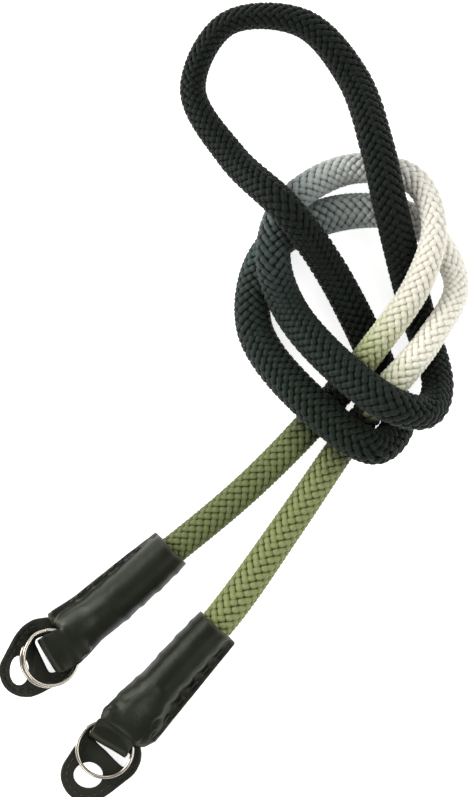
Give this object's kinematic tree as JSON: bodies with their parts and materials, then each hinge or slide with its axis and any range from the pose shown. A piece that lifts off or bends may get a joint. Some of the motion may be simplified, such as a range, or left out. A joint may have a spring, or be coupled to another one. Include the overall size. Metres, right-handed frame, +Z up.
{
  "type": "rope camera neck strap",
  "caption": "Braided rope neck strap, dyed from green to black, with sewn leather ends, split rings and leather guards, doubled and tied in a loose knot.",
  "frame": {"origin": "on the surface it lies on, under the middle of the two leather ends that fasten to the camera", "axes": "+Z up from the surface, +Y from the leather ends towards the bight of the rope, +X to the right as seen from above"},
  "size_m": [0.1413, 0.2403, 0.0313],
  "materials": {
    "rope": "soft braided yarn, dip-dyed from olive green over cream and grey to black",
    "leather": "black satin leather with raw edges and black seams",
    "steel": "polished steel spring wire"
  },
  "bodies": {
    "root": {"rope": "rope", "sleeve_left": "leather", "sleeve_right": "leather", "ring_left": "steel", "ring_right": "steel", "guard_left": "leather", "guard_right": "leather"}
  },
  "joints": []
}
